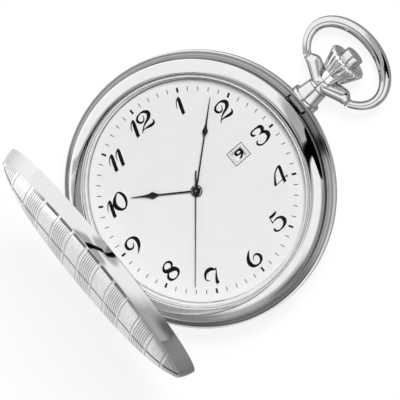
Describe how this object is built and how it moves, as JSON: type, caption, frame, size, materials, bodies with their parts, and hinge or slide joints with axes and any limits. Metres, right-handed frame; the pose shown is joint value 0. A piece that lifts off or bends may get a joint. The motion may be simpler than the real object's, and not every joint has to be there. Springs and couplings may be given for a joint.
{
  "type": "hunter pocket watch",
  "caption": "Round pocket watch with a sprung, engraved front cover, numbered dial with date window, fluted crown with push button, and a swinging oval bow; quartz movement inside.",
  "frame": {"origin": "middle of the flat on the back cover, on the axis of the dial", "axes": "+Z out of the dial towards the crystal, +X from the middle towards 3 o'clock and the pendant, +Y towards 12 o'clock; the cover's hinge is at 9 o'clock"},
  "size_m": [0.0686, 0.0508, 0.0535],
  "materials": {
    "case_mirror": "mirror-polished, silver-coloured plating",
    "cover_engraved": "mirror-polished with engraved bands of fine lines on the domed face",
    "crystal_clear": "clear, domed mineral glass",
    "seal_white": "white nylon, smooth",
    "seal_black": "black seal rubber",
    "dial_silver": "fine matt silver-white lacquer with printed black numbers",
    "hand_black": "black lacquer",
    "spring_steel": "hardened spring steel",
    "bright_steel": "turned and polished steel",
    "plate_nickel": "nickel-plated plate, fine grained",
    "wheel_brass": "stamped brass, lightly polished",
    "ring_plastic": "moulded white plastic",
    "date_white": "white with printed black day numbers",
    "coil_copper": "enamelled copper wire",
    "board_green": "green board lacquer"
  },
  "bodies": {
    "case": {"middle_case": "case_mirror", "back_cover": "case_mirror", "back_gasket": "seal_black", "bezel": "case_mirror", "crystal": "crystal_clear", "crystal_gasket": "seal_white", "movement_ring": "ring_plastic", "hinge_pin": "bright_steel", "fly_spring": "spring_steel", "spring_screws": "bright_steel", "pendant": "case_mirror", "bow_yoke": "case_mirror", "dial": "dial_silver", "date_guard": "bright_steel", "main_plate": "plate_nickel", "stator": "spring_steel", "coil": "coil_copper", "circuit_board": "board_green", "quartz_can": "bright_steel", "battery": "bright_steel", "battery_clamp": "wheel_brass", "train_bridge": "plate_nickel", "movement_screws": "bright_steel"},
    "cover": {"front_cover": "cover_engraved", "cover_knuckle": "case_mirror"},
    "catch": {"catch_spring": "spring_steel"},
    "bow": {"bow": "case_mirror", "bow_pins": "case_mirror"},
    "clutch": {"clutch_pinion": "bright_steel"},
    "crown": {"crown": "case_mirror", "crown_seal": "seal_black", "winding_stem": "bright_steel", "crown_pin": "bright_steel", "button_spring": "spring_steel"},
    "button": {"push_button": "case_mirror"},
    "seconds": {"fourth_wheel": "wheel_brass", "seconds_hand": "hand_black"},
    "fifth": {"fifth_wheel": "wheel_brass"},
    "rotor": {"rotor": "spring_steel"},
    "third": {"third_wheel": "wheel_brass"},
    "minutes": {"cannon_pinion": "bright_steel", "centre_wheel": "wheel_brass", "minute_hand": "hand_black"},
    "minute_work": {"minute_wheel": "wheel_brass"},
    "hours": {"hour_wheel": "wheel_brass", "hour_hand": "hand_black"},
    "date_drive": {"date_wheel": "wheel_brass"},
    "date": {"date_disc": "date_white"}
  },
  "joints": [
    {"name": "cover_hinge", "type": "hinge", "parent": "case", "child": "cover", "pos_m": [-0.0244, 0, 0.0075], "axis": [0, -1, 0], "range_deg": [-66.5, 0], "stiffness_Nm_per_rad": 0.0026, "springref_deg": 65.89},
    {"name": "bow_swing", "type": "hinge", "parent": "case", "child": "bow", "pos_m": [0.03045, 0, 0.0045], "axis": [0, -1, 0], "range_deg": [-135, 120]},
    {"name": "crown_turn", "type": "hinge", "parent": "case", "child": "clutch", "pos_m": [0.0095, 0, 0.0045], "axis": [1, 0, 0], "continuous": true},
    {"name": "crown_pull", "type": "slide", "parent": "clutch", "child": "crown", "axis": [1, 0, 0], "range_m": [0, 0.001]},
    {"name": "button_press", "type": "slide", "parent": "crown", "child": "button", "axis": [1, 0, 0], "range_m": [-0.0005, 0], "stiffness_N_per_m": 500, "springref_m": 0.0005, "deforming": ["button_spring"]},
    {"name": "catch_bend", "type": "hinge", "parent": "case", "child": "catch", "pos_m": [0.0151, -0.0151, 0.005], "axis": [0, 0, 1], "range_deg": [0, 1.3]},
    {"name": "seconds_turn", "type": "hinge", "parent": "case", "child": "seconds", "pos_m": [0, 0, 0.004], "axis": [0, 0, -1], "continuous": true},
    {"name": "fifth_turn", "type": "hinge", "parent": "case", "child": "fifth", "pos_m": [0.00144, -0.00249, 0.0046], "axis": [0, 0, -1], "continuous": true},
    {"name": "rotor_turn", "type": "hinge", "parent": "case", "child": "rotor", "pos_m": [0.00249, -0.00431, 0.0046], "axis": [0, 0, -1], "continuous": true},
    {"name": "third_turn", "type": "hinge", "parent": "case", "child": "third", "pos_m": [-0.00172, 0.0037, 0.0043], "axis": [0, 0, -1], "continuous": true},
    {"name": "minutes_turn", "type": "hinge", "parent": "case", "child": "minutes", "pos_m": [0, 0, 0.005], "axis": [0, 0, -1], "continuous": true},
    {"name": "minute_work_turn", "type": "hinge", "parent": "case", "child": "minute_work", "pos_m": [0.0013, 0.00225, 0.0075], "axis": [0, 0, -1], "continuous": true},
    {"name": "hours_turn", "type": "hinge", "parent": "case", "child": "hours", "pos_m": [0, 0, 0.0078], "axis": [0, 0, -1], "continuous": true},
    {"name": "date_drive_turn", "type": "hinge", "parent": "case", "child": "date_drive", "pos_m": [-0.00358, -0.00511, 0.0078], "axis": [0, 0, -1], "continuous": true},
    {"name": "date_turn", "type": "hinge", "parent": "case", "child": "date", "pos_m": [0, 0, 0.0081], "axis": [0, 0, -1], "continuous": true}
  ],
  "couplings": [
    {"joint": "fifth_turn", "follows": "seconds_turn", "ratio": -5},
    {"joint": "rotor_turn", "follows": "seconds_turn", "ratio": 30},
    {"joint": "third_turn", "follows": "seconds_turn", "ratio": -0.13333},
    {"joint": "minutes_turn", "follows": "seconds_turn", "ratio": 0.016667},
    {"joint": "minute_work_turn", "follows": "seconds_turn", "ratio": -0.0055556},
    {"joint": "hours_turn", "follows": "seconds_turn", "ratio": 0.0013889},
    {"joint": "date_drive_turn", "follows": "seconds_turn", "ratio": -0.00069444},
    {"joint": "date_turn", "follows": "seconds_turn", "ratio": -0.000022401},
    {"joint": "catch_bend", "follows": "button_press", "rad_per_m": -39.744}
  ]
}
